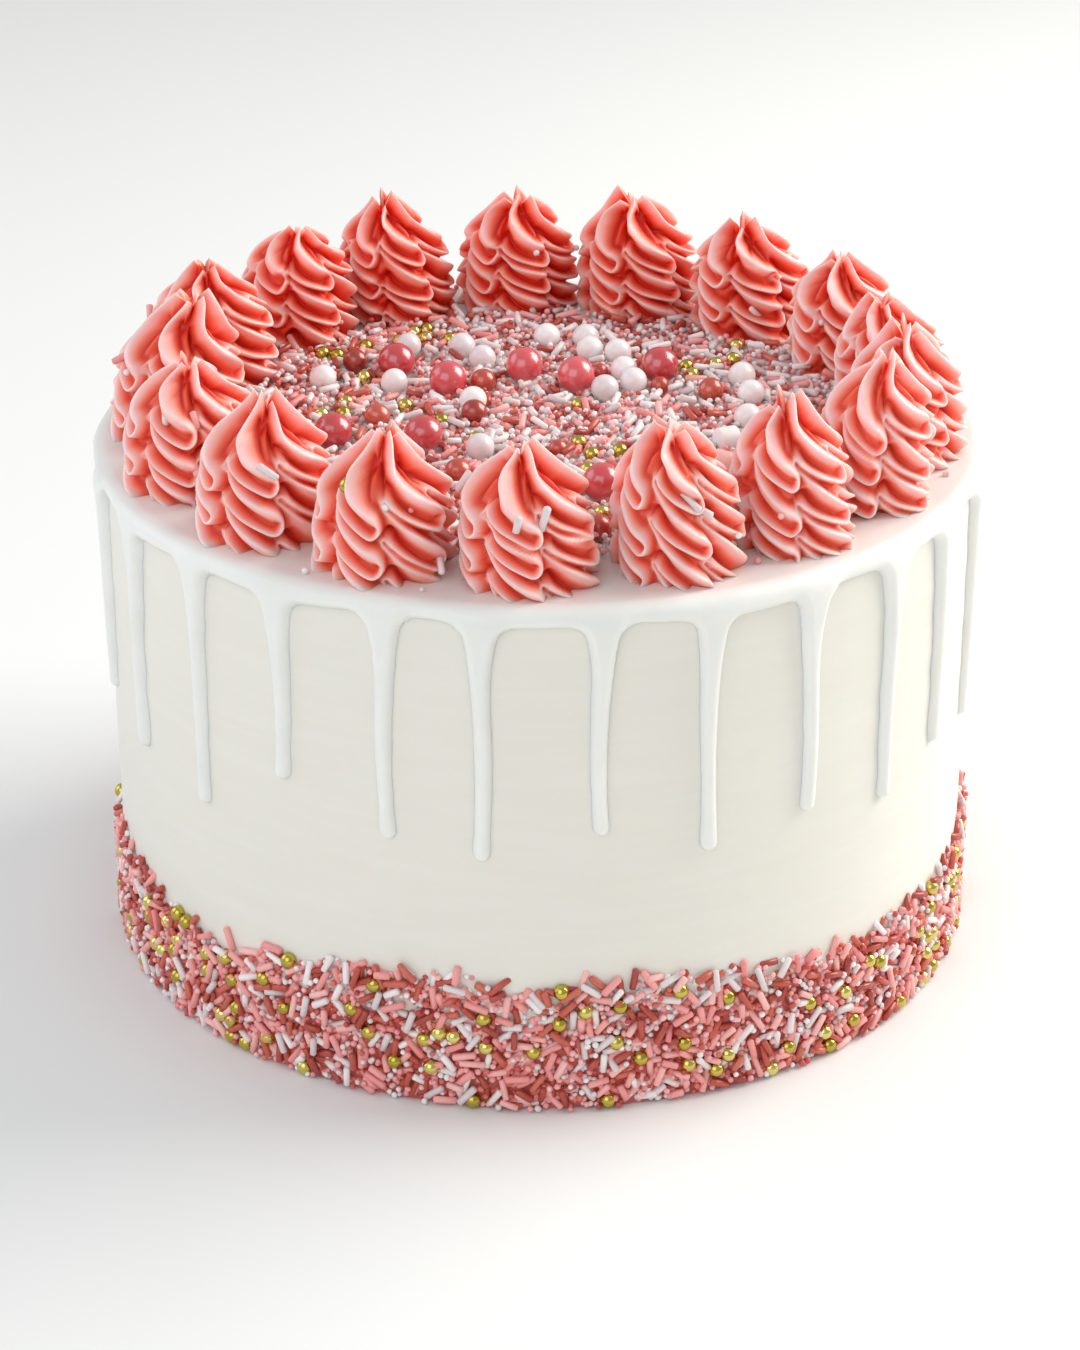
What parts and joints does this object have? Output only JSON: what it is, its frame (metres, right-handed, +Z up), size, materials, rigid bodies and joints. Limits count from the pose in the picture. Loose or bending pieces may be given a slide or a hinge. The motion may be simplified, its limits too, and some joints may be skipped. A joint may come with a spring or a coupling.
{
  "type": "layer cake",
  "caption": "Tall round frosted layer cake with a white glaze that drips, a crown of piped coral buttercream swirls, sugar balls and a band of mixed sprinkles.",
  "frame": {"origin": "centre of the flat underside of the cake, on the surface it stands on", "axes": "+Z up; -Y towards the side shown in the picture; +X to the right of it"},
  "size_m": [0.2162, 0.2155, 0.1628],
  "materials": {
    "buttercream_ivory": "smooth scraped buttercream, satin, slightly waxy",
    "glaze_white": "set white glaze, soft gloss",
    "buttercream_coral": "piped coral buttercream, satin, light passes into it",
    "sugar_rose": "pearly rose sugar",
    "sugar_white": "pearly white sugar",
    "sugar_copper": "pearly copper red sugar"
  },
  "bodies": {
    "root": {"cake_body": "buttercream_ivory", "drip_glaze": "glaze_white", "swirl_01": "buttercream_coral", "swirl_02": "buttercream_coral", "swirl_03": "buttercream_coral", "swirl_04": "buttercream_coral", "swirl_05": "buttercream_coral", "swirl_06": "buttercream_coral", "swirl_07": "buttercream_coral", "swirl_08": "buttercream_coral", "swirl_09": "buttercream_coral", "swirl_10": "buttercream_coral", "swirl_11": "buttercream_coral", "swirl_12": "buttercream_coral", "swirl_13": "buttercream_coral", "swirl_14": "buttercream_coral", "swirl_15": "buttercream_coral", "swirl_16": "buttercream_coral", "swirl_17": "buttercream_coral", "pink_ball_01": "sugar_rose", "pink_ball_02": "sugar_rose", "pink_ball_03": "sugar_rose", "pink_ball_04": "sugar_rose", "pink_ball_05": "sugar_rose", "pink_ball_06": "sugar_rose", "pink_ball_07": "sugar_rose", "pink_ball_08": "sugar_rose", "white_ball_01": "sugar_white", "white_ball_02": "sugar_white", "white_ball_03": "sugar_white", "white_ball_04": "sugar_white", "white_ball_05": "sugar_white", "white_ball_06": "sugar_white", "white_ball_07": "sugar_white", "white_ball_08": "sugar_white", "white_ball_09": "sugar_white", "white_ball_10": "sugar_white", "white_ball_11": "sugar_white", "white_ball_12": "sugar_white", "white_ball_13": "sugar_white", "white_ball_14": "sugar_white", "white_ball_15": "sugar_white", "white_ball_16": "sugar_white", "white_ball_17": "sugar_white", "copper_ball_01": "sugar_copper", "copper_ball_02": "sugar_copper", "copper_ball_03": "sugar_copper", "copper_ball_04": "sugar_copper", "copper_ball_05": "sugar_copper", "copper_ball_06": "sugar_copper", "copper_ball_07": "sugar_copper", "small_copper_ball_01": "sugar_copper", "small_copper_ball_02": "sugar_copper", "small_copper_ball_03": "sugar_copper", "white_chunk": "sugar_white", "pink_chunk": "sugar_rose"}
  },
  "joints": []
}
